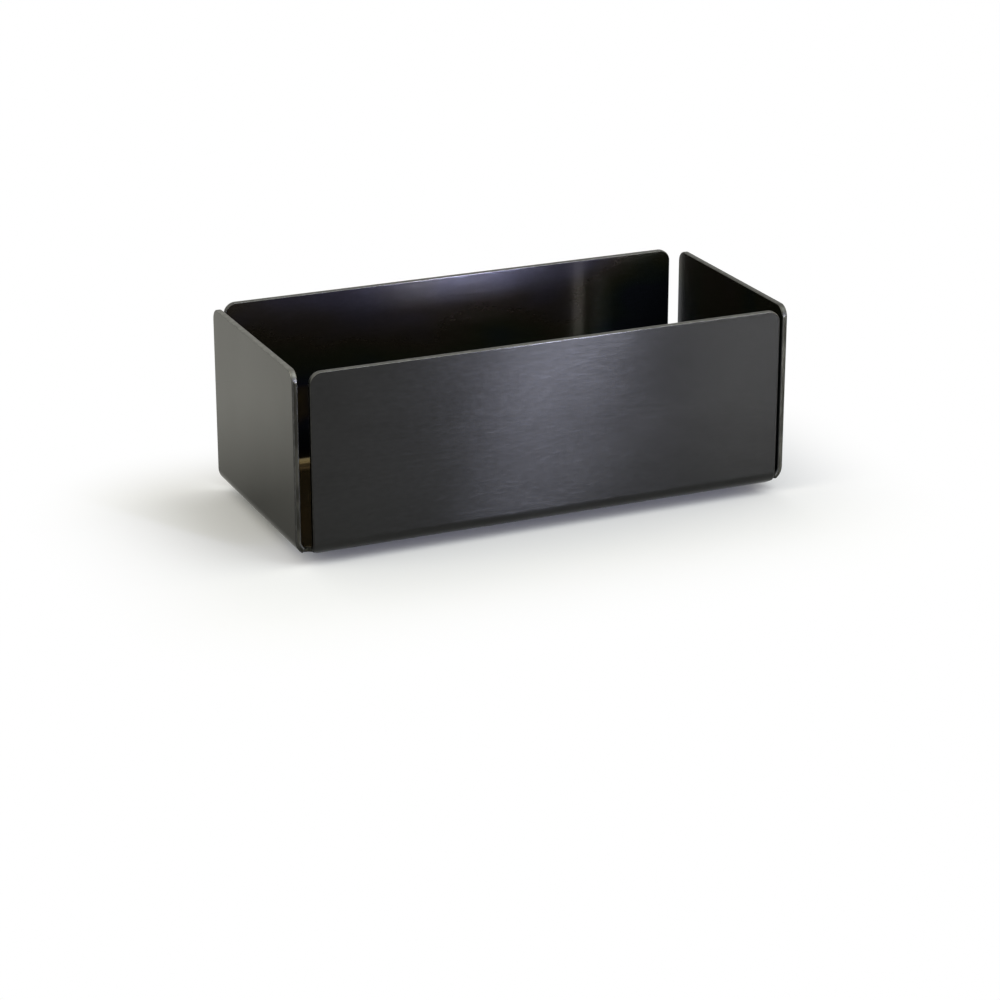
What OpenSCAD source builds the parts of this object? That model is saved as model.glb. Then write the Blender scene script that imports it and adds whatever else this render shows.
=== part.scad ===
// Sugar packet holder: an open tray folded up from one cross-shaped sheet, on four stick-on rubber feet.
// The origin is the middle of the footprint, on the surface that the feet stand on.
// +X runs along the tray, +Y runs from its front to its back, and +Z is up. Sizes are in millimetres.

/* [Tray] */
// Length over the outer faces of the two end walls
tray_length = 108; // [80:1:160]
// Width over the outer faces of the front and back walls
tray_width = 51; // [42:1:90]
// Height of the walls, from the underside of the base to the rim
tray_height = 38; // [20:1:70]
// Radius of the two rounded top corners of each wall
corner_radius = 2.5; // [0.5:0.1:8]

/* [Folded sheet] */
// Thickness of the sheet
sheet_thickness = 1.2; // [0.8:0.1:2]
// Inside radius of the bend along the foot of each wall
bend_inner_radius = 1.9; // [0.6:0.1:4]
// Open slit between each end of a long wall and the inner face of the end wall
long_wall_gap = 1.7; // [0.6:0.1:3]
// Open slit between each side of an end wall and the inner face of the long wall
end_wall_gap = 0.9; // [0.4:0.1:3]
// How far each corner's relief hole reaches past the place where two bends would cross
relief_margin = 0.6; // [0.3:0.1:1.5]

/* [Feet] */
// Diameter of a foot where it is bonded to the base
foot_diameter = 8; // [5:0.5:12]
// Diameter of the flat spot that a foot stands on
foot_contact_diameter = 4; // [2:0.5:4.5]
// Height of the rubber of a foot
foot_height = 1.8; // [1:0.1:3]
// Height of the straight rim at the top of a foot
foot_rim_height = 0.5; // [0.2:0.1:0.8]
// Distance from the tray's outer faces to the middle of each foot
foot_inset = 12; // [9:0.5:18]

/* [Adhesive discs] */
// Thickness of the adhesive disc between a foot and the base
adhesive_thickness = 0.2; // [0.1:0.05:0.5]
// How far the disc's edge stays inside the edge of its foot
adhesive_inset = 0.2; // [0.1:0.05:1]

/* [Hidden] */
// The finest circles that a preview draws
$fn = 96;
// How far a cut runs past the solid that it cuts
overrun = 1;

// Height of the base's underside above the surface that the feet stand on
stand_height = foot_height + adhesive_thickness;
bend_outer_radius = bend_inner_radius + sheet_thickness;

// Distance from the tray's outer faces to the free edges of the walls, along X and along Y
long_wall_setback = sheet_thickness + long_wall_gap;
end_wall_setback = sheet_thickness + end_wall_gap;
long_wall_span = tray_length - 2 * long_wall_setback;
end_wall_span = tray_width - 2 * end_wall_setback;

// The flat part of the base, between the lines where the bends begin
base_length = tray_length - 2 * bend_outer_radius;
base_width = tray_width - 2 * bend_outer_radius;

// A relief hole lies midway between the crossing of two bend lines and the crossing of the walls' free edges
relief_x = tray_length / 2 - (bend_outer_radius + long_wall_setback) / 2;
relief_y = tray_width / 2 - (bend_outer_radius + end_wall_setback) / 2;
relief_radius = relief_margin
    + norm([bend_outer_radius - long_wall_setback, bend_outer_radius - end_wall_setback]) / 2;

// A foot's domed side is part of a sphere, from the edge of the flat spot up to the rim
dome_height = foot_height - foot_rim_height;
dome_centre_height = (pow(foot_diameter / 2, 2) - pow(foot_contact_diameter / 2, 2) + pow(dome_height, 2))
    / (2 * dome_height);
dome_radius = norm([foot_contact_diameter / 2, dome_centre_height]);

foot_x = tray_length / 2 - foot_inset;
foot_y = tray_width / 2 - foot_inset;

// Sides of the tray, as signs of X and Y
LEFT = -1;
RIGHT = 1;
FRONT = -1;
REAR = 1;

sheet_colour = "#2b2b2d";
rubber_colour = "#1b1b1c";
adhesive_colour = "#8d8b84";

// Section through a bend and the wall above it. The flat base ends at x = 0, and its underside is y = 0.
module bend_section() {
    intersection() {
        translate([0, bend_outer_radius])
            difference() {
                circle(r = bend_outer_radius);
                circle(r = bend_inner_radius);
            }
        square(bend_outer_radius);
    }
    translate([bend_inner_radius, bend_outer_radius])
        square([sheet_thickness, tray_height - bend_outer_radius]);
}

// Face of a wall, seen square on: a rectangle with two rounded top corners
module wall_face(span) {
    translate([-span / 2, 0])
        square([span, tray_height - corner_radius]);
    translate([corner_radius - span / 2, 0])
        square([span - 2 * corner_radius, tray_height]);
    for (side = [LEFT, RIGHT])
        translate([side * (span / 2 - corner_radius), tray_height - corner_radius])
            circle(r = corner_radius);
}

// One flap of the sheet, folded up from the line y = 0 towards +Y
module flap(span) {
    intersection() {
        rotate([90, 0, 90])
            linear_extrude(height = span, center = true)
                bend_section();
        rotate([90, 0, 0])
            linear_extrude(height = 2 * (bend_outer_radius + overrun), center = true)
                wall_face(span);
    }
}

// Round hole through the sheet at each corner, where two bends would run into each other
module corner_reliefs() {
    for (side = [LEFT, RIGHT], end = [FRONT, REAR])
        translate([side * relief_x, end * relief_y, -overrun])
            cylinder(r = relief_radius, h = bend_outer_radius + overrun);
}

// The whole sheet: a flat base and four flaps, with nothing joining the walls to each other
module folded_tray() {
    color(sheet_colour)
        translate([0, 0, stand_height])
            difference() {
                union() {
                    translate([-base_length / 2, -base_width / 2, 0])
                        cube([base_length, base_width, sheet_thickness]);
                    for (turn = [0, 180])
                        rotate([0, 0, turn])
                            translate([0, base_width / 2, 0])
                                flap(long_wall_span);
                    for (turn = [90, 270])
                        rotate([0, 0, turn])
                            translate([0, base_length / 2, 0])
                                flap(end_wall_span);
                }
                corner_reliefs();
            }
}

// A turned rubber foot: a flat spot to stand on, a domed side and a straight rim
module foot(side, end) {
    color(rubber_colour)
        translate([side * foot_x, end * foot_y, 0])
            rotate_extrude()
                intersection() {
                    translate([0, dome_centre_height])
                        circle(r = dome_radius);
                    square([foot_diameter / 2, foot_height]);
                }
}

// The thin disc that bonds a foot to the underside of the base
module adhesive(side, end) {
    color(adhesive_colour)
        translate([side * foot_x, end * foot_y, foot_height])
            cylinder(r = foot_diameter / 2 - adhesive_inset, h = adhesive_thickness);
}

folded_tray();
foot(LEFT, FRONT);  // front_left_foot
foot(RIGHT, FRONT);  // front_right_foot
foot(LEFT, REAR);  // rear_left_foot
foot(RIGHT, REAR);  // rear_right_foot
adhesive(LEFT, FRONT);  // front_left_adhesive
adhesive(RIGHT, FRONT);  // front_right_adhesive
adhesive(LEFT, REAR);  // rear_left_adhesive
adhesive(RIGHT, REAR);  // rear_right_adhesive
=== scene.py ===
"""A sugar packet holder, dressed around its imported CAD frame.

The holder is one cross-shaped sheet of black brushed steel, folded up at four bends and open at its corners.
It stands on four stick-on rubber feet. Everything is in metres, in the frame's own axes: +X along the tray,
+Y from its front to its back, and +Z up from the surface that it stands on.
"""

from __future__ import annotations

import logging
import math
from contextlib import contextmanager
from dataclasses import dataclass, field
from enum import Enum
from typing import Callable, Iterator, Sequence

import bmesh
import bpy
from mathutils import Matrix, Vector


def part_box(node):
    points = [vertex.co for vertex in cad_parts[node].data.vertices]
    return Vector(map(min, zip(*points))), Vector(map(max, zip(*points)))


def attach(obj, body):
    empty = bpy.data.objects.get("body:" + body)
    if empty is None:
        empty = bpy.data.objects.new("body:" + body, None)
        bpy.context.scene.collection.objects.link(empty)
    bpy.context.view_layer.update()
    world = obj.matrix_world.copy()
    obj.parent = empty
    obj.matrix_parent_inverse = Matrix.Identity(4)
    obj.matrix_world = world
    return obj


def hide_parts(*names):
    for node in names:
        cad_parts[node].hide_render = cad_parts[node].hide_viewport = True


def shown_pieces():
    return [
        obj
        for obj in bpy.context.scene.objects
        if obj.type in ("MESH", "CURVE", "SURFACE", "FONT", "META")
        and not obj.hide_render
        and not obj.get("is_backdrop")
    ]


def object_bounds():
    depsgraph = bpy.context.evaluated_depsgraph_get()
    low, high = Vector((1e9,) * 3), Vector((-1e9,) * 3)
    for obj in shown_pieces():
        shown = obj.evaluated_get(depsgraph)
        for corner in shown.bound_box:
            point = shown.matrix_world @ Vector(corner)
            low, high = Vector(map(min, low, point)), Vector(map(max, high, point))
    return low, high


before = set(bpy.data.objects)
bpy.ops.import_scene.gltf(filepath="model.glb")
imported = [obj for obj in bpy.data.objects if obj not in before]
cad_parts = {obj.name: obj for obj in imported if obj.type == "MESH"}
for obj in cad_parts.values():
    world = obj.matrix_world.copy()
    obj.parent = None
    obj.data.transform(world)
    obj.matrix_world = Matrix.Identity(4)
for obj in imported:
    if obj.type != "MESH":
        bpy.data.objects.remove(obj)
cad_low, cad_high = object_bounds()

Span = tuple[float, float]
Triple = tuple[float, float, float]

MM = 0.001
QUARTER_TURN = math.pi / 2
CLOSE = 0.02 * MM
GRAIN_MAP = "Grain"
BAKE_MAP = "OFBake"
BLACK = (0.0, 0.0, 0.0)
WHITE = (1.0, 1.0, 1.0)

log = logging.getLogger("sugar packet holder")


# Modelling by hand


class Pick(Enum):
    """What edit mode selects."""

    VERTEX = "VERT"
    EDGE = "EDGE"
    FACE = "FACE"


def take_up(piece: bpy.types.Object) -> None:
    """Selects one piece and nothing else, and makes it the active one.

    Args:
        piece: The piece.
    """
    bpy.ops.object.select_all(action="DESELECT")
    piece.select_set(True)
    bpy.context.view_layer.objects.active = piece


@contextmanager
def editing(piece: bpy.types.Object, pick: Pick) -> Iterator[None]:
    """Keeps one piece in edit mode for as long as the block runs.

    Args:
        piece: The piece to edit.
        pick: What is selected in it.

    Yields:
        Nothing, once the piece is in edit mode.
    """
    take_up(piece)
    bpy.ops.object.mode_set(mode="EDIT")
    bpy.ops.mesh.select_mode(type=pick.value)
    yield
    bpy.ops.object.mode_set(mode="OBJECT")


def select(piece: bpy.types.Object, pick: Pick, wanted: Callable[[Vector], bool]) -> None:
    """Selects what lies at a place, in edit mode, and nothing else.

    Args:
        piece: The piece that is being edited.
        pick: Whether vertices, edges or faces are selected.
        wanted: Says of a point whether it is in that place. All corners of an edge or a face have to be.
    """
    bpy.ops.mesh.select_all(action="DESELECT")
    mesh = bmesh.from_edit_mesh(piece.data)
    items = {Pick.VERTEX: mesh.verts, Pick.EDGE: mesh.edges, Pick.FACE: mesh.faces}[pick]
    for item in items:
        corners = [item] if pick is Pick.VERTEX else item.verts
        if all(wanted(corner.co) for corner in corners):
            item.select_set(True)
    mesh.select_flush_mode()
    bmesh.update_edit_mesh(piece.data)


def modify(piece: bpy.types.Object, kind: str, **settings: object) -> None:
    """Adds a modifier to a piece and applies it.

    Args:
        piece: The piece, in object mode.
        kind: The modifier's type.
        **settings: Its settings.
    """
    modifier = piece.modifiers.new(kind.title(), kind)
    for name, value in settings.items():
        setattr(modifier, name, value)
    take_up(piece)
    bpy.ops.object.modifier_apply(modifier=modifier.name)


def settle(piece: bpy.types.Object, name: str) -> bpy.types.Object:
    """Names a piece and puts its place into its mesh, so that its object sits at the origin.

    Args:
        piece: The piece, in object mode.
        name: Its new name.

    Returns:
        The piece.
    """
    piece.name = piece.data.name = name
    take_up(piece)
    bpy.ops.object.transform_apply(location=True, rotation=True, scale=True)
    return piece


# Shader maths


class Value:
    """A number that varies over a surface. Arithmetic on it adds the Math nodes that work it out."""

    def __init__(self, nodes: NodeTree, socket: bpy.types.NodeSocket) -> None:
        """Wraps a socket of a node tree."""
        self.nodes = nodes
        self.socket = socket

    def _maths(self, operation: str, *numbers: Value | float) -> Value:
        """Adds a Math node and returns its result."""
        return self.nodes.value("ShaderNodeMath", {"operation": operation}, dict(enumerate(numbers)))

    def __add__(self, other: Value | float) -> Value:
        """Returns the sum."""
        return self._maths("ADD", self, other)

    __radd__ = __add__

    def __sub__(self, other: Value | float) -> Value:
        """Returns the difference."""
        return self._maths("SUBTRACT", self, other)

    def __rsub__(self, other: Value | float) -> Value:
        """Returns the difference, for a number on the left."""
        return self._maths("SUBTRACT", other, self)

    def __mul__(self, other: Value | float) -> Value:
        """Returns the product."""
        return self._maths("MULTIPLY", self, other)

    __rmul__ = __mul__

    def __abs__(self) -> Value:
        """Returns this without its sign."""
        return self._maths("ABSOLUTE", self)

    def at_most(self, limit: Value | float) -> Value:
        """Returns this, or the limit where that is lower."""
        return self._maths("MINIMUM", self, limit)

    def ramp(self, low: float, high: float) -> Value:
        """Returns 0 where this is below low, 1 where it is above high, and a smooth rise between them."""
        settings = {"interpolation_type": "SMOOTHSTEP"}
        return self.nodes.value("ShaderNodeMapRange", settings, {0: self, 1: low, 2: high})


class NodeTree:
    """A node tree under construction."""

    def __init__(self, tree: bpy.types.NodeTree) -> None:
        """Empties a tree, to build it up anew."""
        self.tree = tree
        tree.nodes.clear()

    def node(self, kind: str, settings: dict[str, object], inputs: dict[str | int, object]) -> bpy.types.Node:
        """Adds a node.

        Args:
            kind: The node's type.
            settings: Its settings, which are set first. "stops" are a colour ramp's positions and colours.
            inputs: A number, colour, vector, socket or Value for each socket, by its name or its place.

        Returns:
            The node.
        """
        made = self.tree.nodes.new(kind)
        for name, setting in settings.items():
            if name == "stops":
                self._set_stops(made.color_ramp, setting)
            else:
                setattr(made, name, setting)
        for key, given in inputs.items():
            source = given.socket if isinstance(given, Value) else given
            if isinstance(source, bpy.types.NodeSocket):
                self.tree.links.new(source, made.inputs[key])
            else:
                made.inputs[key].default_value = source
        return made

    @staticmethod
    def _set_stops(ramp: bpy.types.ColorRamp, stops: Sequence[tuple[float, Sequence[float]]]) -> None:
        """Sets the stops of a colour ramp.

        Args:
            ramp: The ramp.
            stops: The position and the colour of each stop.
        """
        while len(ramp.elements) < len(stops):
            ramp.elements.new(1.0)
        for element, (position, colour) in zip(ramp.elements, stops):
            element.position = position
            element.color = (*colour, 1.0)

    def value(self, kind: str, settings: dict[str, object], inputs: dict[str | int, object]) -> Value:
        """Adds a node and returns its first output as a Value."""
        return Value(self, self.node(kind, settings, inputs).outputs[0])

    def place(self) -> bpy.types.NodeSocket:
        """Returns the Object coordinates, which are the frame's own, in metres."""
        return self.node("ShaderNodeTexCoord", {}, {}).outputs["Object"]

    def parts(self, vector: bpy.types.NodeSocket) -> tuple[Value, ...]:
        """Returns the X, Y and Z of a vector."""
        split = self.node("ShaderNodeSeparateXYZ", {}, {0: vector})
        return tuple(Value(self, part) for part in split.outputs)

    def vector(self, operation: str, *vectors: object) -> bpy.types.Node:
        """Adds a Vector Math node and returns it."""
        return self.node("ShaderNodeVectorMath", {"operation": operation}, dict(enumerate(vectors)))

    def noise(self, place: bpy.types.NodeSocket, stretch: Triple, detail: float = 2.0) -> Value:
        """Adds noise that can be longer one way than another.

        Args:
            place: The coordinates that it reads.
            stretch: How many of its features there are to a metre, along each axis.
            detail: How many finer layers it has.

        Returns:
            The noise, from about 0.3 to 0.7 around a mean of 0.5.
        """
        scaled = self.node("ShaderNodeMapping", {"vector_type": "POINT"}, {"Vector": place, "Scale": stretch})
        inputs = {"Vector": scaled.outputs[0], "Scale": 1.0, "Detail": detail}
        return self.value("ShaderNodeTexNoise", {}, inputs)

    def blend(self, share: Value | float, low: object, high: object) -> bpy.types.NodeSocket:
        """Returns the mix of two colours, all low where share is 0 and all high where it is 1."""
        return self.node("ShaderNodeMix", {"data_type": "RGBA"}, {0: share, 6: low, 7: high}).outputs[2]

    def bump(self, height: Value, depth: float, strength: float = 1.0) -> bpy.types.NodeSocket:
        """Returns the normal of a surface that stands out by a height times a depth, in metres."""
        inputs = {"Strength": strength, "Distance": depth, "Height": height}
        return self.node("ShaderNodeBump", {}, inputs).outputs[0]


def rgb(colour: Sequence[float], gain: float = 1.0) -> tuple[float, float, float, float]:
    """Returns an opaque colour, made lighter or darker by a gain."""
    red, green, blue = (gain * part for part in colour)
    return (red, green, blue, 1.0)


# Finishes


@dataclass(frozen=True)
class Finish:
    """A finish of the holder, which becomes a material."""

    name: str

    def material(self) -> bpy.types.Material:
        """Builds the finish.

        Returns:
            The material, with one surface.
        """
        material = bpy.data.materials.new(self.name)
        material.use_nodes = True
        nodes = NodeTree(material.node_tree)
        surface = nodes.node("ShaderNodeBsdfPrincipled", {}, self._sockets(nodes))
        nodes.node("ShaderNodeOutputMaterial", {}, {"Surface": surface.outputs[0]})
        return material

    def _sockets(self, nodes: NodeTree) -> dict[str, object]:
        """Works out what the sockets are given.

        Args:
            nodes: The material's nodes.

        Returns:
            A value for each socket, by its name.
        """
        raise NotImplementedError


class Stretch(Enum):
    """Which way a wall's brushed grain draws its highlights out, as a share of a turn."""

    ACROSS = 0.0
    UPRIGHT = 0.25


@dataclass(frozen=True)
class BrushedSteel(Finish):
    """Black-coloured stainless steel, brushed along the length of the blank."""

    stretch: Stretch = Stretch.UPRIGHT
    anisotropy: float = 1.0
    metal: float = 1.0
    base: Triple = (0.0272, 0.0272, 0.0264)
    glance: Triple = (1.0, 1.0, 0.98)
    roughness: float = 0.178
    # How much smoother the foot of a long wall is, and where on the blank that begins and stops to fade
    worn: float = 0.014
    unworn: Span = (27.0 * MM, 52.0 * MM)
    # Marks to a metre, along the grain and across it
    ticks: Triple = (600.0, 1700.0, 1.0)
    lines: Triple = (160.0, 1100.0, 1.0)
    sparks: Triple = (280.0, 1600.0, 1.0)
    clouds: Triple = (30.0, 60.0, 1.0)
    # How far ticks and lines, and clouds, lighten and darken the colour
    streaks: float = 0.2
    line_share: float = 0.4
    clouding: float = 0.05
    cloud_limits: Span = (0.3, 0.7)
    # How far sparks and ticks, and then lines and clouds, change the roughness
    flecks: float = 0.0145
    spark_limits: Span = (0.56, 0.7)
    tick_gain: float = 1.5
    drift: float = 0.02
    # How deep the marks are, and how deep a line is beside a tick
    grain_depth: float = 0.003 * MM
    line_depth: float = 0.5
    # How far folding has twisted a long wall, which stays true at one height
    twist: float = 0.58
    bow: float = 30.0 * MM
    bow_half: float = 25.0 * MM
    untwisted: float = 48.8 * MM

    def _sockets(self, nodes: NodeTree) -> dict[str, object]:
        """Works out what the sockets are given, from the blank's map, along and across the grain.

        Args:
            nodes: The material's nodes.

        Returns:
            A value for each socket, by its name.
        """
        blank = nodes.node("ShaderNodeUVMap", {"uv_map": GRAIN_MAP}, {}).outputs[0]
        ticks = nodes.noise(blank, self.ticks, 1.0)
        lines = nodes.noise(blank, self.lines, 2.0)
        sparks = nodes.noise(blank, self.sparks, 1.0)
        cloud = nodes.noise(blank, self.clouds, 2.0)
        streaks = (1.0 - self.line_share) * ticks + self.line_share * lines - 0.5
        shade = 1.0 + 2.0 * self.streaks * streaks
        gloss = sparks.ramp(*self.spark_limits) + self.tick_gain * (ticks - 0.5)
        grain = self.flecks * gloss + self.drift * (lines - 0.5 + cloud - 0.5)
        height = self.grain_depth * (ticks + self.line_depth * lines) + self._twist(nodes, blank)
        return {
            "Base Color": nodes.blend(shade * 0.5, rgb(BLACK), self._colour(nodes, cloud)),
            "Metallic": self._metal(nodes),
            "Roughness": self._roughness(nodes, blank) + grain,
            "Specular Tint": rgb(self.glance),
            "Anisotropic": self.anisotropy,
            "Anisotropic Rotation": self.stretch.value,
            "Normal": nodes.bump(height, 1.0),
        }

    def _twist(self, nodes: NodeTree, blank: bpy.types.NodeSocket) -> Value:
        """Finds how far the middle of a long wall stands out where folding has left it a little twisted.

        Args:
            nodes: The material's nodes.
            blank: The blank's own map.

        Returns:
            The height, in metres.
        """
        along, across, _ = nodes.parts(blank)
        bowed = self.bow * (along.ramp(-self.bow_half, self.bow_half) - 0.5)
        return self.twist * bowed * (abs(across) - self.untwisted)

    def _metal(self, nodes: NodeTree) -> Value | float:
        """Returns how metallic the surface is."""
        return self.metal

    def _roughness(self, nodes: NodeTree, blank: bpy.types.NodeSocket) -> Value:
        """Returns the roughness before the grain changes it, which is less at the foot of a long wall."""
        _, across, _ = nodes.parts(blank)
        return self.roughness - self.worn * (1.0 - abs(across).ramp(*self.unworn))

    def _colour(self, nodes: NodeTree, cloud: Value) -> bpy.types.NodeSocket:
        """Returns twice the colour of the steel, which the streaks then halve on the whole."""
        dark, light = rgb(self.base, 2.0 * (1.0 - self.clouding)), rgb(self.base, 2.0 * (1.0 + self.clouding))
        return nodes.blend(cloud.ramp(*self.cloud_limits), dark, light)


@dataclass(frozen=True)
class TintedSteel(BrushedSteel):
    """The same steel on the inside, where the colouring bath left duller, drifting heat tints."""

    metal: float = 0.5
    roughness: float = 0.161
    flecks: float = 0.035
    ticks: Triple = (800.0, 1700.0, 1.0)
    twist: float = 0.0
    # How much smoother the two ends are, and how far from the middle that begins and is full
    polish: float = 0.03
    polished: Span = (6.0 * MM, 30.0 * MM)
    # The base and the foot of the walls are more metallic than what is above the bend
    foot_metal: float = 0.9
    above_bend: Span = (6.0 * MM, 14.0 * MM)
    # The tints follow each other from the rim down, and wander above the base
    rim: float = cad_high.z
    tint_depth: float = 34.0 * MM
    wander: float = 1.6
    wandering: Span = (3.0 * MM, 15.0 * MM)
    # They are further on at the upper right, and a little behind at the start of a bend
    right_lead: float = 0.28
    lead_along: Span = (22.0 * MM, 46.0 * MM)
    lead_up: Span = (14.0 * MM, 28.0 * MM)
    bend_lag: float = 0.17
    bend_start: Span = (3.2 * MM, 3.7 * MM)
    # The last, bronze tints end on a slant and in a ripple near the left end
    unbronzed: float = 0.24
    bronze_end: Span = (-38.0 * MM, -18.0 * MM)
    bronze_slant: float = 0.42
    bronze_ripple: float = 16.0 * MM
    tints: tuple[tuple[float, Triple], ...] = (
        (0.0, (0.031, 0.028, 0.037)),
        (0.14, (0.028, 0.024, 0.024)),
        (0.3, (0.027, 0.022, 0.015)),
        (0.5, (0.019, 0.021, 0.012)),
        (0.68, (0.012, 0.017, 0.017)),
        (0.8, (0.011, 0.012, 0.022)),
        (0.9, (0.062, 0.043, 0.016)),
        (1.0, (0.185, 0.128, 0.054)),
    )

    def _metal(self, nodes: NodeTree) -> Value:
        """Returns how metallic the surface is, which is less above the bend."""
        _, _, height = nodes.parts(nodes.place())
        return self.foot_metal - (self.foot_metal - self.metal) * height.ramp(*self.above_bend)

    def _roughness(self, nodes: NodeTree, blank: bpy.types.NodeSocket) -> Value:
        """Returns the roughness before the grain changes it, which is less towards the two ends."""
        along, _, _ = nodes.parts(blank)
        return self.roughness - self.polish * abs(along).ramp(*self.polished)

    def _colour(self, nodes: NodeTree, cloud: Value) -> bpy.types.NodeSocket:
        """Returns twice the colour of the tints, which the streaks then halve on the whole.

        Args:
            nodes: The material's nodes.
            cloud: The slow clouding that the tints wander with.

        Returns:
            The colour.
        """
        along, back, height = nodes.parts(nodes.place())
        wander = self.wander * (cloud - 0.5) * height.ramp(*self.wandering)
        lead = self.right_lead * along.ramp(*self.lead_along) * height.ramp(*self.lead_up)
        lag = self.bend_lag * (height.ramp(*self.bend_start) * (1.0 - height.ramp(*self.above_bend)))
        ripple = self.bronze_ripple * (cloud - 0.5)
        on_right = (along - self.bronze_slant * back + ripple).ramp(*self.bronze_end)
        further = (self.rim - height) * (1.0 / self.tint_depth) + wander + lead - lag
        further = further.at_most(1.0 - self.unbronzed * on_right)
        stops = [(share, tuple(2.0 * part for part in tint)) for share, tint in self.tints]
        return nodes.node("ShaderNodeValToRGB", {"stops": stops}, {0: further}).outputs[0]


@dataclass(frozen=True)
class CutEdge(Finish):
    """The sheet's cut edges: the same black, over the fine ridges that the cutting left."""

    base: Triple
    roughness: float
    # Mottles to a metre, and how much colour is left in their hollows
    mottling: Triple
    hollows: float
    mottle_limits: Span = (0.42, 0.62)
    # How much colour is left below the rim, and how far under it the painted highlight begins and is full
    glint_below_rim: float = 1.0
    rim_glint: Span = (2.2 * MM, 0.3 * MM)
    # How much of the painted highlight's colour is left away from the left wall's rim, and how far from the
    # left end the loss begins and ends
    glint_past_left_end: float = 1.0
    left_end: Span = (0.6 * MM, 2.5 * MM)
    # Ridges to a metre, how deep they are beside a mottle, and how far they change the roughness
    ridges: float = 2500.0
    ridge_depth: float = 0.4
    ridge_gain: float = 0.2
    depth: float = 0.006 * MM
    anisotropy: float = 0.0

    def _sockets(self, nodes: NodeTree) -> dict[str, object]:
        """Works out what the sockets are given. A highlight is painted along the top of the rim, lightest on
        the left wall's rim, and the edges below it are painted darker.

        Args:
            nodes: The material's nodes.

        Returns:
            A value for each socket, by its name.
        """
        place = nodes.place()
        along, _, height = nodes.parts(place)
        mottle = nodes.noise(place, self.mottling)
        ridges = nodes.noise(place, (self.ridges,) * 3, 1.0)
        under_rim, at_rim = (cad_high.z - depth for depth in self.rim_glint)
        at_left, past_left = (cad_low.x + distance for distance in self.left_end)
        rim_glint = self.glint_below_rim + (1.0 - self.glint_below_rim) * height.ramp(under_rim, at_rim)
        left_end_glint = 1.0 - (1.0 - self.glint_past_left_end) * along.ramp(at_left, past_left)
        share = rim_glint * left_end_glint * (self.hollows + (1.0 - self.hollows) * mottle.ramp(*self.mottle_limits))
        return {
            "Base Color": nodes.blend(share, rgb(BLACK), rgb(self.base)),
            "Metallic": 1.0,
            "Roughness": self.roughness + self.ridge_gain * self.roughness * (ridges - 0.5),
            "Anisotropic": self.anisotropy,
            "Anisotropic Rotation": Stretch.UPRIGHT.value,
            "Normal": nodes.bump(mottle + self.ridge_depth * ridges, self.depth),
        }


@dataclass(frozen=True)
class MouldedRubber(Finish):
    """Matt black rubber with the soft bloom of a moulded foot."""

    name: str = "moulded_rubber"
    base: Triple = (0.018, 0.018, 0.019)
    roughness: float = 0.62
    # Patches of bloom to a metre, how much lighter they are, and how far they change the roughness
    bloom: float = 400.0
    bloom_limits: Span = (0.35, 0.7)
    bloom_gain: float = 1.7
    dulling: float = 0.3
    # Grains to a metre, and how deep and how strong they are
    grain: float = 4000.0
    depth: float = 0.02 * MM
    strength: float = 0.6

    def _sockets(self, nodes: NodeTree) -> dict[str, object]:
        """Works out what the sockets are given.

        Args:
            nodes: The material's nodes.

        Returns:
            A value for each socket, by its name.
        """
        place = nodes.place()
        grain = nodes.noise(place, (self.grain,) * 3)
        bloom = nodes.noise(place, (self.bloom,) * 3, 3.0)
        light = rgb(self.base, self.bloom_gain)
        return {
            "Base Color": nodes.blend(bloom.ramp(*self.bloom_limits), rgb(self.base), light),
            "Roughness": self.roughness + self.dulling * (bloom - 0.5),
            "Normal": nodes.bump(grain, self.depth, self.strength),
        }


@dataclass(frozen=True)
class AdhesiveFilm(Finish):
    """The greyish acrylic film that bonds a foot to the sheet."""

    name: str = "adhesive_film"
    base: Triple = (0.27, 0.26, 0.24)
    roughness: float = 0.4
    # Clouds to a metre, and how far they change the colour and the roughness
    clouds: float = 900.0
    clouding: float = 0.2
    dulling: float = 0.3
    depth: float = 0.02 * MM
    strength: float = 0.4

    def _sockets(self, nodes: NodeTree) -> dict[str, object]:
        """Works out what the sockets are given.

        Args:
            nodes: The material's nodes.

        Returns:
            A value for each socket, by its name.
        """
        cloud = nodes.noise(nodes.place(), (self.clouds,) * 3, 3.0)
        dark, light = rgb(self.base, 1.0 - self.clouding), rgb(self.base, 1.0 + self.clouding)
        return {
            "Base Color": nodes.blend(cloud, dark, light),
            "Roughness": self.roughness + self.dulling * (cloud - 0.5),
            "Normal": nodes.bump(cloud, self.depth, self.strength),
        }


# The tray


class Flap(Enum):
    """A flap of the sheet: the axis that it is folded towards, and which way."""

    FRONT = (1, -1)
    REAR = (1, 1)
    LEFT = (0, -1)
    RIGHT = (0, 1)

    @property
    def axis(self) -> int:
        """The axis that the flap is folded towards: 0 for X, 1 for Y."""
        return self.value[0]

    @property
    def sign(self) -> int:
        """Which way along that axis."""
        return self.value[1]

    @property
    def along(self) -> int:
        """The axis that the flap runs along."""
        return 1 - self.axis


class Side(Enum):
    """Which part of the sheet's surface a face belongs to."""

    OUTER = "outer side"
    INNER = "inner side"
    RIM = "deburred rim"
    CUT_END = "upright cut end"


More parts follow.
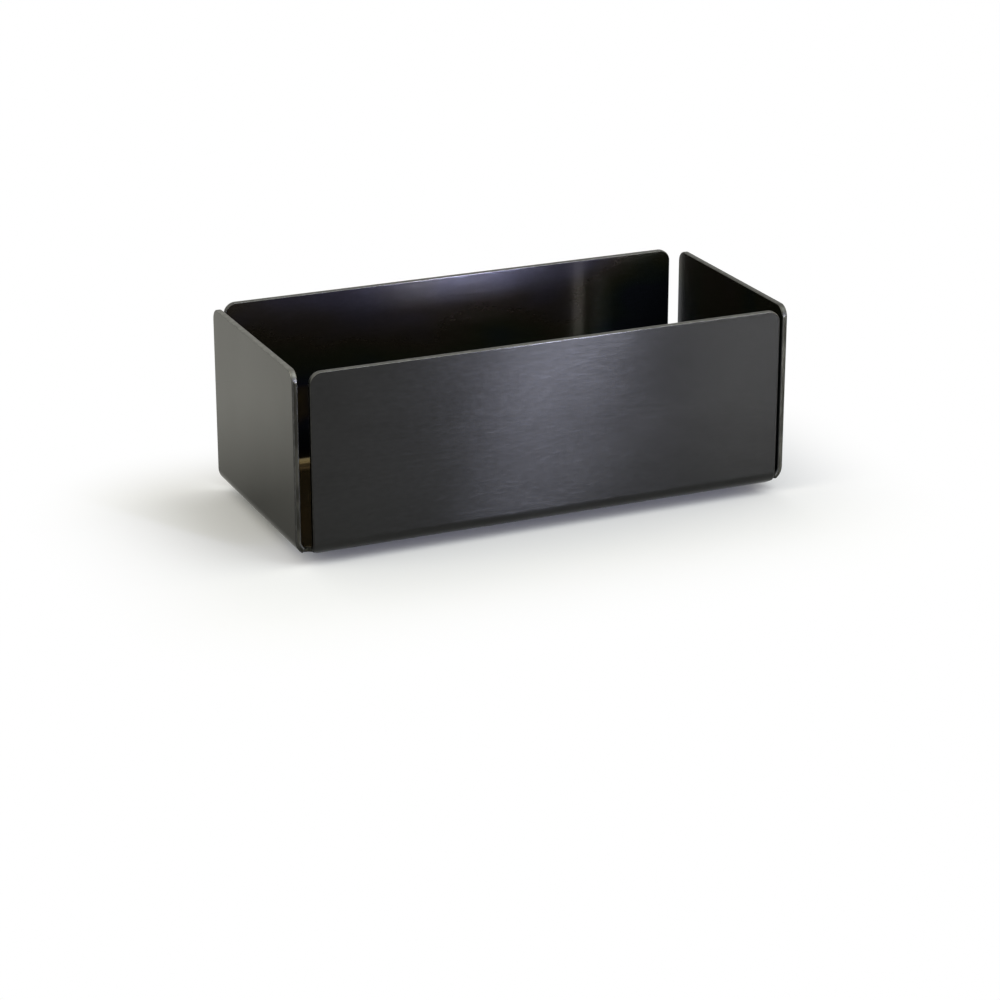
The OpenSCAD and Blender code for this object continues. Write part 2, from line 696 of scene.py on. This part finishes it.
@dataclass
class FoldedTray:
    """The tray: one sheet, folded up at four bends, with rounded top corners and a slit at each corner."""

    node: str = "folded_tray"
    thickness: float = 1.2 * MM
    bend_inner_radius: float = 1.9 * MM
    long_wall_gap: float = 1.7 * MM
    end_wall_gap: float = 0.9 * MM
    corner_radius: float = 2.5 * MM
    relief_margin: float = 0.6 * MM
    deburr: float = 0.26 * MM
    bend_steps: int = 16
    corner_steps: int = 10
    deburr_steps: int = 4
    # Edges above the first angle are deburred, and faces below the second are shaded as one
    sharp_angle: float = math.radians(50)
    smooth_angle: float = math.radians(40)
    flat_weight: int = 80
    # How squarely a face looks across the sheet if it is on one of its sides, and if it is a cut end
    side_on: float = 0.9
    end_on: float = 0.15
    # In the baked picture: the gap between islands, and how much of the cut edges' depth is laid out
    picture_gap: float = 1.0 * MM
    edge_share: float = 0.8

    def __post_init__(self) -> None:
        """Works the sheet's other sizes out from its own and from the frame's."""
        self.low, self.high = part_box(self.node)
        self.middle_radius = self.bend_inner_radius + self.thickness / 2
        self.outer_radius = self.bend_inner_radius + self.thickness
        self.floor = self.low.z + self.thickness / 2
        self.bend_top = self.floor + self.middle_radius
        # Half the flat base and half of what each pair of walls spans, along X and along Y
        self.base = [self.high[axis] - self.outer_radius for axis in (0, 1)]
        gaps = (self.long_wall_gap, self.end_wall_gap)
        self.reach = [self.high[axis] - self.thickness - gaps[axis] for axis in (0, 1)]
        self.relief = [(self.base[axis] + self.reach[axis]) / 2 for axis in (0, 1)]
        crossing = [(self.reach[axis] - self.base[axis]) / 2 for axis in (0, 1)]
        self.relief_radius = self.relief_margin + math.hypot(*crossing)

    def build(self) -> bpy.types.Object:
        """Folds the tray.

        Returns:
            The tray, bare.
        """
        tray = self._cut_base()
        for flap in Flap:
            self._fold_up(tray, flap)
        self._give_thickness(tray)
        self._round_top_corners(tray)
        self._deburr(tray)
        settle(tray, "folded_steel_tray")
        self._map_blank(tray)
        self._map_bake(tray)
        return tray

    def _relief_edge(self, along: int, place: float) -> float:
        """Finds how far the sheet reaches beside a relief hole.

        Args:
            along: The axis that is asked for, 0 for X and 1 for Y.
            place: The place along the other axis, from the middle of the tray.

        Returns:
            The distance from the middle of the tray.
        """
        beside = self.relief_radius**2 - (place - self.relief[1 - along]) ** 2
        if place > self.relief[1 - along] + self.relief_radius or beside <= 0:
            return self.reach[along]
        return min(self.reach[along], self.relief[along] - math.sqrt(beside))

    def _cut_base(self) -> bpy.types.Object:
        """Lays the flat of the base down and cuts its corners back to the relief holes.

        Returns:
            The sheet, without flaps.
        """
        bpy.ops.object.select_all(action="DESELECT")
        bpy.ops.mesh.primitive_plane_add(size=2.0, location=(0.0, 0.0, self.floor))
        tray = bpy.context.object
        ends = [self._relief_edge(0, self.base[1]), self._relief_edge(1, self.base[0])]
        facing = Vector((self.base[1] - ends[1], self.base[0] - ends[0])).normalized()
        with editing(tray, Pick.VERTEX):
            bpy.ops.mesh.select_all(action="SELECT")
            bpy.ops.transform.resize(value=(self.base[0], self.base[1], 1.0))
            for side_x in (-1, 1):
                for side_y in (-1, 1):
                    bpy.ops.mesh.select_all(action="SELECT")
                    bpy.ops.mesh.bisect(
                        plane_co=(side_x * ends[0], side_y * self.base[1], self.floor),
                        plane_no=(side_x * facing.x, side_y * facing.y, 0.0),
                        clear_outer=True,
                    )
        return settle(tray, "sheet")

    def _fold_up(self, tray: bpy.types.Object, flap: Flap) -> None:
        """Draws one flap out of the base's edge: round its bend, then straight up.

        Args:
            tray: The sheet so far.
            flap: The flap to fold.
        """
        axis, along, sign = flap.axis, flap.along, flap.sign
        line = sign * self.base[axis]
        centre = Vector((0.0, 0.0, self.bend_top))
        centre[axis] = line
        spin_axis = Vector((0.0, 0.0, 0.0))
        spin_axis[along] = float(-sign if axis == 1 else sign)
        with editing(tray, Pick.EDGE):
            select(tray, Pick.EDGE, lambda p: abs(p[axis] - line) < CLOSE and p.z < self.floor + CLOSE)
            bpy.ops.mesh.spin(steps=self.bend_steps, angle=QUARTER_TURN, center=centre, axis=spin_axis)
        with editing(tray, Pick.VERTEX):
            for step in range(1, self.bend_steps + 1):
                self._spread_bend(tray, flap, QUARTER_TURN * step / self.bend_steps)
        with editing(tray, Pick.EDGE):
            wall, top = sign * (self.base[axis] + self.middle_radius), self.bend_top
            select(tray, Pick.EDGE, lambda p: abs(p[axis] - wall) < CLOSE and abs(p.z - top) < CLOSE)
            rise = (0.0, 0.0, self.high.z - top)
            bpy.ops.mesh.extrude_region_move(TRANSFORM_OT_translate={"value": rise})

    def _spread_bend(self, tray: bpy.types.Object, flap: Flap, turned: float) -> None:
        """Moves the two ends of one row of a bend out to the edges of their relief holes.

        Args:
            tray: The sheet, in edit mode.
            flap: The flap that is being folded.
            turned: How far round the bend the row is.
        """
        place = self.base[flap.axis] + self.middle_radius * math.sin(turned)
        height = self.bend_top - self.middle_radius * math.cos(turned)
        before = self._relief_edge(flap.along, self.base[flap.axis])
        spread = self._relief_edge(flap.along, place) - before
        for side in (-1, 1):
            corner = Vector((0.0, 0.0, height))
            corner[flap.axis], corner[flap.along] = flap.sign * place, side * before
            select(tray, Pick.VERTEX, lambda p: (p - corner).length < CLOSE)
            offset = Vector((0.0, 0.0, 0.0))
            offset[flap.along] = side * spread
            bpy.ops.transform.translate(value=offset)

    def _give_thickness(self, tray: bpy.types.Object) -> None:
        """Turns the folded surface into sheet.

        Args:
            tray: The folded surface.
        """
        with editing(tray, Pick.FACE):
            bpy.ops.mesh.select_all(action="SELECT")
            bpy.ops.mesh.remove_doubles(threshold=CLOSE / 4)
            bpy.ops.mesh.normals_make_consistent(inside=False)
        modify(tray, "SOLIDIFY", thickness=self.thickness, offset=0.0, use_even_offset=True)

    def _round_top_corners(self, tray: bpy.types.Object) -> None:
        """Rounds the two top corners of each wall, across the sheet's thickness.

        Args:
            tray: The tray, with its thickness.
        """
        with editing(tray, Pick.EDGE):
            bpy.ops.mesh.select_all(action="DESELECT")
            mesh = bmesh.from_edit_mesh(tray.data)
            for edge in mesh.edges:
                at_top = all(corner.co.z > self.high.z - CLOSE for corner in edge.verts)
                edge.select_set(at_top and edge.calc_length() < self.thickness + CLOSE)
            bmesh.update_edit_mesh(tray.data)
            bpy.ops.mesh.bevel(offset=self.corner_radius, segments=self.corner_steps, profile=0.5)

    def _deburr(self, tray: bpy.types.Object) -> None:
        """Takes the burr off the sheet's edges, and smooths its bends.

        Args:
            tray: The tray, with its rounded corners.
        """
        modify(
            tray,
            "BEVEL",
            width=self.deburr,
            segments=self.deburr_steps,
            limit_method="ANGLE",
            angle_limit=self.sharp_angle,
            use_clamp_overlap=False,
        )
        with editing(tray, Pick.FACE):
            bpy.ops.mesh.select_all(action="SELECT")
            bpy.ops.mesh.normals_make_consistent(inside=False)
        bpy.ops.object.shade_smooth_by_angle(angle=self.smooth_angle)
        modify(tray, "WEIGHTED_NORMAL", weight=self.flat_weight, keep_sharp=True)

    def _map_blank(self, tray: bpy.types.Object) -> None:
        """Gives the tray the map of its flat blank, in metres.

        Args:
            tray: The finished tray.
        """
        mesh = tray.data
        while mesh.uv_layers:
            mesh.uv_layers.remove(mesh.uv_layers[0])
        grain = mesh.uv_layers.new(name=GRAIN_MAP)
        for face in mesh.polygons:
            flap = self._flap_of(face.center)
            for corner in face.loop_indices:
                place = mesh.vertices[mesh.loops[corner].vertex_index].co
                grain.data[corner].uv = self._on_blank(place, flap)

    def _flap_of(self, place: Vector) -> Flap | None:
        """Returns the flap that a point of the sheet lies on, or None for the flat of the base."""
        furthest = max(Flap, key=lambda flap: self._past_base(place, flap))
        return furthest if self._past_base(place, furthest) > 0 else None

    def _past_base(self, place: Vector, flap: Flap) -> float:
        """Returns how far a point lies past the edge of the flat base, towards a flap."""
        return flap.sign * place[flap.axis] - self.base[flap.axis]

    def _on_blank(self, place: Vector, flap: Flap | None) -> tuple[float, float]:
        """Finds where a point of the folded sheet lies on the flat blank.

        Args:
            place: The point.
            flap: The flap that it is on, or None for the base.

        Returns:
            Its place along and across the blank, from the blank's middle.
        """
        if flap is None:
            return (place.x, place.y)
        if place.z < self.bend_top:
            run = self.middle_radius * math.atan2(self._past_base(place, flap), self.bend_top - place.z)
        else:
            run = self.middle_radius * QUARTER_TURN + place.z - self.bend_top
        flat = [0.0, 0.0]
        flat[flap.along] = place[flap.along]
        flat[flap.axis] = flap.sign * (self.base[flap.axis] + run)
        return (flat[0], flat[1])

    def _map_bake(self, tray: bpy.types.Object) -> None:
        """Gives the tray the map that its baked pictures use.

        Both sides of the strip that runs from the front rim to the rear rim lie side by side, and both sides
        of the two end walls lie in a row below them. The cut edges are laid outwards round the sides.

        Args:
            tray: The finished tray.
        """
        mesh = tray.data
        outward = self._outward(mesh)
        bake = mesh.uv_layers.new(name=BAKE_MAP)
        for face in mesh.polygons:
            flap = self._flap_of(face.center)
            inner = self._depth(face.center, flap) > self.thickness - self.deburr + CLOSE / 2
            for corner in face.loop_indices:
                index = mesh.loops[corner].vertex_index
                place = mesh.vertices[index].co
                depth = self._depth(place, flap)
                across = self.thickness - depth if inner else depth
                flat = Vector(self._on_blank(place, flap)) + self.edge_share * across * outward[index]
                bake.data[corner].uv = self._on_picture(flat, flap, inner)

    def _depth(self, place: Vector, flap: Flap | None) -> float:
        """Returns how deep a point lies in the sheet, from its outer side."""
        if flap is None:
            return place.z - self.low.z
        return self.outer_radius - math.hypot(self._past_base(place, flap), max(self.bend_top - place.z, 0.0))

    def _outward(self, mesh: bpy.types.Mesh) -> list[Vector]:
        """Finds the way out of the flat blank, across the cut edges.

        Args:
            mesh: The tray's mesh.

        Returns:
            For each vertex, that way on the blank, or nothing where it isn't on a cut edge.
        """
        outward = [Vector((0.0, 0.0)) for _ in mesh.vertices]
        for face in mesh.polygons:
            flap = self._flap_of(face.center)
            inwards = self._inwards(face.center, flap)
            if abs(face.normal.dot(inwards)) >= self.side_on:
                continue
            flat = Vector((face.normal.x, face.normal.y))
            if flap is not None:
                up_the_wall = Vector((0.0, 0.0, -inwards[flap.axis] * flap.sign))
                up_the_wall[flap.axis] = flap.sign * inwards.z
                flat[flap.axis] = flap.sign * face.normal.dot(up_the_wall)
            for index in face.vertices:
                outward[index] += face.area * flat
        return [way.normalized() for way in outward]

    def _on_picture(self, flat: Vector, flap: Flap | None, inner: bool) -> tuple[float, float]:
        """Finds where a point of the flat blank lies in the baked picture.

        Args:
            flat: The point on the blank, with a cut edge laid outwards.
            flap: The flap that it is on, or None for the base.
            inner: Whether it is on the inner side.

        Returns:
            Its place in the picture, as shares of the picture's width and height.
        """
        gap = self.picture_gap
        wall = self.middle_radius * QUARTER_TURN + self.high.z - self.bend_top + self.thickness
        half = (self.reach[0] + self.thickness, self.base[1] + wall)
        half_end = self.reach[1] + self.thickness
        width, height = 4 * half[0] + 3 * gap, 2 * half[1] + wall + 3 * gap
        unmirrored = 1 if inner else -1
        if flap in (Flap.LEFT, Flap.RIGHT):
            place = 2 * (flap is Flap.RIGHT) + inner
            across = half_end - flap.sign * unmirrored * flat.y + place * (2 * half_end + gap)
            up = flap.sign * flat.x - self.base[0]
        else:
            across = half[0] + unmirrored * flat.x + inner * (2 * half[0] + gap)
            up = half[1] + flat.y + wall + gap
        return ((across + gap) / width, (up + gap) / height)

    @staticmethod
    def _finishes() -> dict[tuple[int | None, Side], Finish]:
        """Returns the finishes, by the axis that a flap is folded towards, if any, and the sheet's side."""
        return {
            (1, Side.OUTER): BrushedSteel("brushed_long_walls"),
            # The end walls' warmer, slightly dimmer base and glance are painted light: they stand in for the
            # warm light that falls on the left wall
            (0, Side.OUTER): BrushedSteel(
                "brushed_end_walls",
                Stretch.ACROSS,
                base=(0.0275, 0.027, 0.0255),
                glance=(0.94, 0.935, 0.88),
                roughness=0.13,
                worn=0.0,
                streaks=0.5,
                clouding=0.2,
                twist=0.0,
            ),
            (None, Side.OUTER): BrushedSteel("brushed_underside", anisotropy=0.0, twist=0.0),
            (1, Side.INNER): TintedSteel("tinted_long_walls"),
            (0, Side.INNER): TintedSteel("tinted_end_walls", Stretch.ACROSS, metal=0.75, roughness=0.155),
            (None, Side.INNER): TintedSteel("tinted_base", anisotropy=0.0),
            # The rim's edges: lighter cut steel, with a painted highlight along the top of the rim and on the
            # left wall's rim
            (None, Side.RIM): CutEdge(
                "rim_edges_painted_glint",
                base=(0.284, 0.280, 0.254),
                roughness=0.42,
                mottling=(900.0, 900.0, 900.0),
                hollows=0.75,
                glint_below_rim=0.25,
                glint_past_left_end=0.58,
            ),
            (None, Side.CUT_END): CutEdge(
                "cut_ends",
                base=(0.048, 0.047, 0.038),
                roughness=0.22,
                mottling=(700.0, 700.0, 220.0),
                hollows=0.5,
                anisotropy=0.9,
            ),
        }

    def dress(self, tray: bpy.types.Object) -> None:
        """Gives each part of the sheet its finish.

        Args:
            tray: The folded tray.
        """
        finishes = self._finishes()
        slots = {part: slot for slot, part in enumerate(finishes)}
        tray.data.materials.clear()
        for finish in finishes.values():
            tray.data.materials.append(finish.material())
        for face in tray.data.polygons:
            flap = self._flap_of(face.center)
            side = self._side_of(face, flap)
            on_flap = flap is not None and side in (Side.OUTER, Side.INNER)
            face.material_index = slots[(flap.axis if on_flap else None, side)]

    def _side_of(self, face: bpy.types.MeshPolygon, flap: Flap | None) -> Side:
        """Finds which part of the sheet's surface a face belongs to.

        Args:
            face: The face.
            flap: The flap that it is on, or None for the base.

        Returns:
            The side.
        """
        facing = face.normal.dot(self._inwards(face.center, flap))
        if abs(facing) >= self.side_on:
            return Side.INNER if facing > 0 else Side.OUTER
        upright = abs(facing) < self.end_on and abs(face.normal.z) < self.end_on
        return Side.CUT_END if upright else Side.RIM

    def _inwards(self, place: Vector, flap: Flap | None) -> Vector:
        """Finds the way from the sheet's outer side to its inner side.

        Args:
            place: The point of the sheet that is asked for.
            flap: The flap that it is on, or None for the base.

        Returns:
            That way, one metre long.
        """
        if flap is None:
            return Vector((0.0, 0.0, 1.0))
        turned = math.atan2(self._past_base(place, flap), max(self.bend_top - place.z, 0.0))
        turned = min(QUARTER_TURN, turned)
        across = Vector((0.0, 0.0, math.cos(turned)))
        across[flap.axis] = -flap.sign * math.sin(turned)
        return across


# The feet


@dataclass
class StickOnFeet:
    """The four domed rubber feet, and the films that bond them to the base."""

    corners: tuple[str, ...] = ("front_left", "front_right", "rear_left", "rear_right")

    def dress(self) -> None:
        """Gives the feet and their films their finishes."""
        finishes = {"foot": MouldedRubber().material(), "adhesive": AdhesiveFilm().material()}
        for corner in self.corners:
            for kind, material in finishes.items():
                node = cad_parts[f"{corner}_{kind}"]
                node.data.materials.clear()
                node.data.materials.append(material)


# The studio


@dataclass
class Softbox:
    """A rectangular lamp that faces the tray, or else the line above its middle at the lamp's own height."""

    name: str
    place: Triple
    size: Span
    radiance: float
    colour: Triple = WHITE
    level: bool = False
    aim_height: float = 20.0 * MM

    def build(self) -> None:
        """Adds the lamp."""
        data = bpy.data.lights.new(self.name, "AREA")
        data.shape = "RECTANGLE"
        data.size, data.size_y = self.size
        data.energy = self.radiance * math.pi * self.size[0] * self.size[1]
        data.color = self.colour
        lamp = bpy.data.objects.new(self.name, data)
        bpy.context.scene.collection.objects.link(lamp)
        lamp.location = self.place
        aim = Vector((0.0, 0.0, self.place[2] if self.level else self.aim_height))
        towards = aim - Vector(self.place)
        lamp.rotation_euler = towards.to_track_quat("-Z", "Y").to_euler()
        lamp.visible_camera = False


def hang_lamps() -> list[Softbox]:
    """Returns the four large lamps, then the narrow ones beside the camera that make the highlight bands."""
    return [
        Softbox("key", (0.69, -0.69, 1.39), (1.1, 1.1), 1.85, (0.93, 1.0, 1.0)),
        Softbox("left_high", (-0.98, 0.0, 1.39), (1.1, 1.1), 0.7, (1.0, 0.9, 0.65)),
        Softbox("left_low", (-1.58, 0.0, 0.64), (1.1, 0.9), 2.2, (0.98, 1.0, 0.9)),
        Softbox("right_low", (1.58, 0.0, 0.64), (1.1, 0.9), 0.9, (1.0, 0.9, 0.5)),
        Softbox("strip", (0.281, -0.665, 0.0875), (0.05, 0.075), 270.0, (0.665, 0.715, 1.0), level=True),
        Softbox("strip_top", (0.281, -0.665, 0.16), (0.05, 0.07), 39.0, (0.89, 0.78, 1.0), level=True),
        Softbox("strip_foot", (0.281, -0.665, 0.025), (0.05, 0.05), 28.0, (1.0, 0.86, 0.6), level=True),
        Softbox("side_near", (0.362, -0.627, 0.05), (0.06, 0.08), 47.0, (0.94, 0.94, 1.0), level=True),
        Softbox("side_far", (0.47, -0.56, 0.05), (0.2, 0.08), 13.0, (0.92, 0.95, 1.0), level=True),
    ]


@dataclass
class Studio:
    """A white floor under soft light, and the camera."""

    # The camera, as a fit to the photographed tray's edges gives it
    azimuth: float = math.radians(23.833)
    elevation: float = math.radians(20.54)
    aim_height: float = 21.0 * MM
    right_of_aim: float = 0.085 * MM
    above_aim: float = 21.78 * MM
    distance: float = 625.5 * MM
    lens: float = 108.907
    sensor: float = 36.0
    clip: Span = (0.01, 20.0)
    # The floor, which turns pure white away from the shadow
    floor_size: float = 8.0
    floor_white: float = 0.97
    shadow_middle: Triple = (-6.0 * MM, -12.0 * MM, 0.0)
    white_by: float = 40.0 * MM
    # To the left of the tray its mirror image is darker and turns white further out
    floor_mirrored: float = 0.24
    mirrored_white: Span = (-35.0 * MM, 80.0 * MM)
    left_end: Span = (-1.0 * MM, 6.0 * MM)
    # The sky, and the lamps under it
    sky: float = 0.6
    sky_tint: Triple = (1.0, 1.0, 0.97)
    lamps: list[Softbox] = field(default_factory=hang_lamps)

    def build(self) -> None:
        """Sets up the camera, the floor, the sky and the lamps."""
        self._aim_camera()
        self._lay_floor()
        self._light_sky()
        for lamp in self.lamps:
            lamp.build()
        bpy.context.scene.view_settings.view_transform = "Standard"

    def _aim_camera(self) -> None:
        """Adds the camera, where the photograph was taken from."""
        data = bpy.data.cameras.new("camera")
        data.lens, data.sensor_width = self.lens, self.sensor
        data.clip_start, data.clip_end = self.clip
        camera = bpy.data.objects.new("camera", data)
        bpy.context.scene.collection.objects.link(camera)
        level, tilt = self.azimuth, self.elevation
        ahead = (math.sin(level) * math.cos(tilt), math.cos(level) * math.cos(tilt), -math.sin(tilt))
        forward = Vector(ahead)
        right = Vector((math.cos(level), -math.sin(level), 0.0))
        up = right.cross(forward)
        aim = Vector((0.0, 0.0, self.aim_height))
        camera.location = aim - self.right_of_aim * right - self.above_aim * up - self.distance * forward
        camera.rotation_euler = (QUARTER_TURN - tilt, 0.0, -level)
        bpy.context.scene.camera = camera

    def _lay_floor(self) -> None:
        """Lays the floor: white paper that keeps the tray's shadow and is blank white away from it."""
        bpy.ops.object.select_all(action="DESELECT")
        bpy.ops.mesh.primitive_plane_add(size=self.floor_size)
        floor = settle(bpy.context.object, "floor")
        material = bpy.data.materials.new("white_paper")
        material.use_nodes = True
        nodes = NodeTree(material.node_tree)
        place = nodes.place()
        path = nodes.node("ShaderNodeLightPath", {}, {})
        seen, mirrored = (Value(nodes, path.outputs[ray]) for ray in ("Is Camera Ray", "Is Glossy Ray"))
        paper, mirrored_paper = (
            nodes.node("ShaderNodeBsdfDiffuse", {}, {"Color": rgb(WHITE, shade)}).outputs[0]
            for shade in (self.floor_white, self.floor_mirrored)
        )
        along, _, _ = nodes.parts(place)
        outside, under_tray = (cad_low.x + distance for distance in self.left_end)
        on_left = mirrored * (1.0 - along.ramp(outside, under_tray))
        shaded = nodes.node("ShaderNodeMixShader", {}, {0: on_left, 1: paper, 2: mirrored_paper})
        blank = nodes.node("ShaderNodeEmission", {}, {"Color": rgb(WHITE), "Strength": 1.0})
        away = self._away_from_tray(nodes, place)
        near, far = away.ramp(0.0, self.white_by), away.ramp(*self.mirrored_white)
        white = (seen + mirrored) * near + on_left * (far - near)
        surface = nodes.node("ShaderNodeMixShader", {}, {0: white, 1: shaded.outputs[0], 2: blank.outputs[0]})
        nodes.node("ShaderNodeOutputMaterial", {}, {"Surface": surface.outputs[0]})
        floor.data.materials.append(material)
        floor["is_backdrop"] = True

    def _away_from_tray(self, nodes: NodeTree, place: bpy.types.NodeSocket) -> Value:
        """Finds how far a point of the floor lies outside the shadow's middle.

        Args:
            nodes: The floor's nodes.
            place: The point.

        Returns:
            The distance, in metres.
        """
        moved = nodes.vector("SUBTRACT", place, self.shadow_middle)
        spread = nodes.vector("ABSOLUTE", moved.outputs[0])
        past = nodes.vector("SUBTRACT", spread.outputs[0], (cad_high.x, cad_high.y, 0.0))
        outside = nodes.vector("MAXIMUM", past.outputs[0], (0.0, 0.0, 0.0))
        return Value(nodes, nodes.vector("LENGTH", outside.outputs[0]).outputs["Value"])

    def _light_sky(self) -> None:
        """Makes the sky: pure white to the camera, and softer and warmer as light."""
        world = bpy.data.worlds.new("white_sky")
        world.use_nodes = True
        nodes = NodeTree(world.node_tree)
        seen = Value(nodes, nodes.node("ShaderNodeLightPath", {}, {}).outputs["Is Camera Ray"])
        colour = nodes.blend(seen, rgb(self.sky_tint), rgb(WHITE))
        strength = self.sky + (1.0 - self.sky) * seen
        background = nodes.node("ShaderNodeBackground", {}, {"Color": colour, "Strength": strength})
        nodes.node("ShaderNodeOutputWorld", {}, {"Surface": background.outputs[0]})
        bpy.context.scene.world = world


def main() -> None:
    """Builds the tray, its feet and the studio, and reports each piece."""
    logging.basicConfig(level=logging.INFO, format="%(name)s: %(message)s")
    form = FoldedTray()
    tray = form.build()
    form.dress(tray)
    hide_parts(form.node)
    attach(tray, "root")
    StickOnFeet().dress()
    Studio().build()
    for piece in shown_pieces():
        log.info("%s: %d faces", piece.name, len(piece.data.polygons))


if __name__ == "__main__":
    main()
